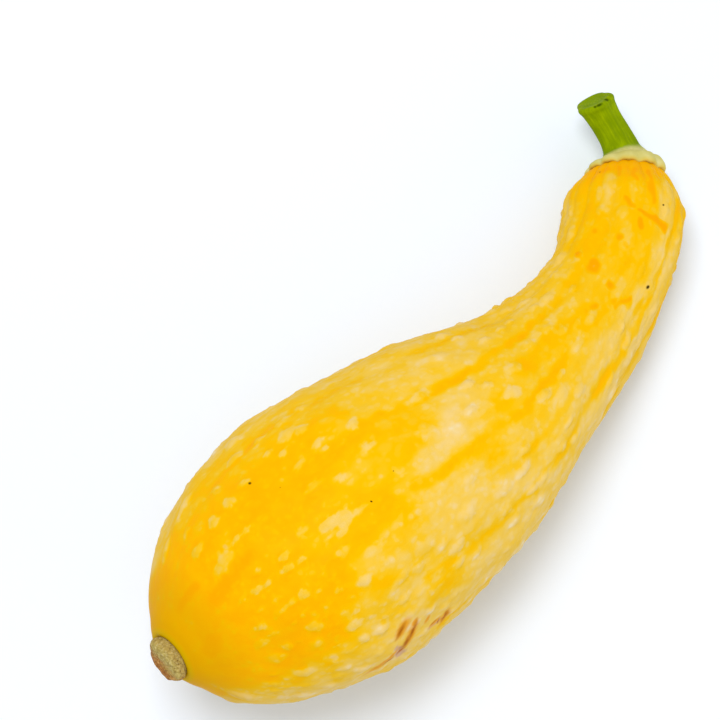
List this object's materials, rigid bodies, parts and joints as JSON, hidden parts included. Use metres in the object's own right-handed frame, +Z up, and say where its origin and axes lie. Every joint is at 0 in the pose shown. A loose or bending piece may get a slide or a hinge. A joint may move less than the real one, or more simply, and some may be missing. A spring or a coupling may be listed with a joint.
{
  "type": "crookneck squash",
  "caption": "Whole yellow crookneck squash lying on its side: a ribbed, warted bulb with a crooked neck, a short cut green stem on a pale foot, and a corky blossom scar.",
  "frame": {"origin": "middle of the squash's footprint box, at table height", "axes": "+X from the blossom end along the bulb towards the neck, +Y the way the neck crooks, +Z up"},
  "size_m": [0.2046, 0.0947, 0.0775],
  "materials": {
    "skin": "satin, warted",
    "stem": "satin, ribbed lengthwise",
    "cork": "dry and cracked"
  },
  "bodies": {
    "root": {"fruit": "skin", "stem": "stem", "blossom_scar": "cork"}
  },
  "joints": []
}
